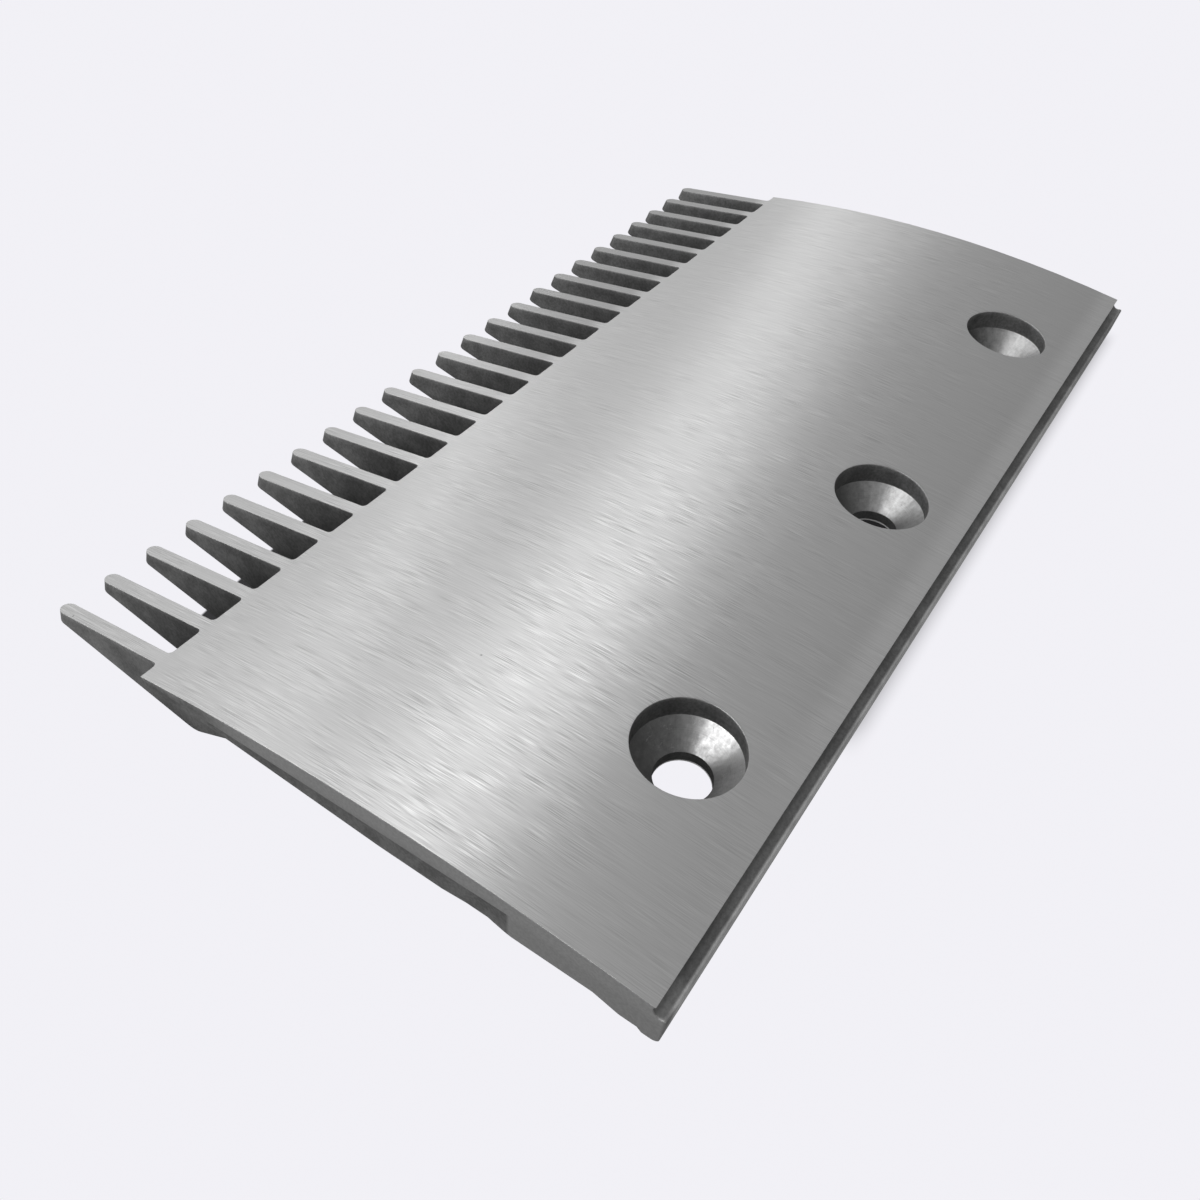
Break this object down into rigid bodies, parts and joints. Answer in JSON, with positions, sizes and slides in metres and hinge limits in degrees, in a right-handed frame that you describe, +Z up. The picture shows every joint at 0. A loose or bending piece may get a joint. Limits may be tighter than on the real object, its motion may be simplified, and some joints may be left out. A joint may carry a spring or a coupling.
{
  "type": "escalator comb plate",
  "caption": "Arched aluminium comb plate with tapered teeth on ribs along one long edge, sunk countersunk screw holes in a row and a grooved, lipped tail edge.",
  "frame": {"origin": "On the axis of the middle screw hole, in the seat plane: the undersides of the pads around the screw holes and of the tail foot.", "axes": "+X along the landing, the plate's long direction; +Y towards the tooth tips, where the steps are; +Z up, along the screw holes."},
  "size_m": [0.2032, 0.1154, 0.0175],
  "materials": {
    "comb_plate": "brushed on the top, milled in the screw holes, as cast on the sides and below"
  },
  "bodies": {
    "root": {"comb_plate": "comb_plate"}
  },
  "joints": []
}
